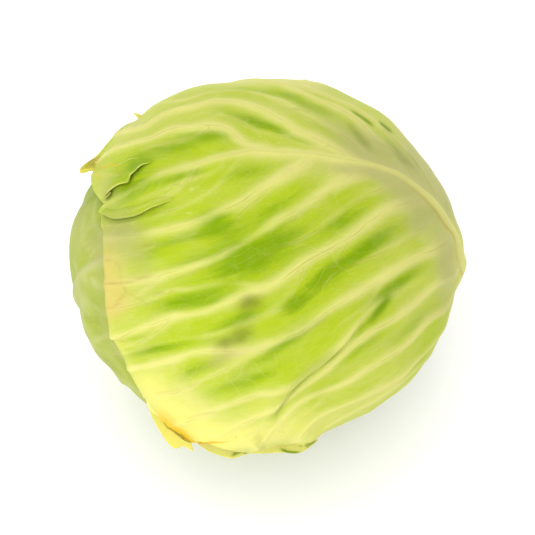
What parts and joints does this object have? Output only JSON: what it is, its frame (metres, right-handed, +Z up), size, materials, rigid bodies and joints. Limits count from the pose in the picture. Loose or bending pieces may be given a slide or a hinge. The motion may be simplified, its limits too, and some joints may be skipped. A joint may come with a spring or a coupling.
{
  "type": "green cabbage head",
  "caption": "Round green cabbage head lying on its side, with a cut stalk, a tight heart and overlapping wrapper leaves with a thick midrib and raised side veins.",
  "frame": {"origin": "centre of the bounding box at the height of the surface that the head rests on", "axes": "+Z up, +X towards the cut stalk, so that the head's own axis leans 30 degrees from +X, back and down; -Y is the side with the outermost leaf"},
  "size_m": [0.1697, 0.1587, 0.1568],
  "materials": {
    "outer_leaf": "waxy satin leaf, green between pale yellow-green veins, yellow at the torn margin",
    "under_leaf": "waxy satin leaf, paler green with whitish veins",
    "heart": "smooth pale green leaf",
    "stalk": "dry cut stalk, cream with a browned rim"
  },
  "bodies": {
    "root": {"leaf_outer": "outer_leaf", "leaf_back": "under_leaf", "leaf_upper": "under_leaf", "leaf_lower": "under_leaf", "heart": "heart", "stalk": "stalk"}
  },
  "joints": []
}
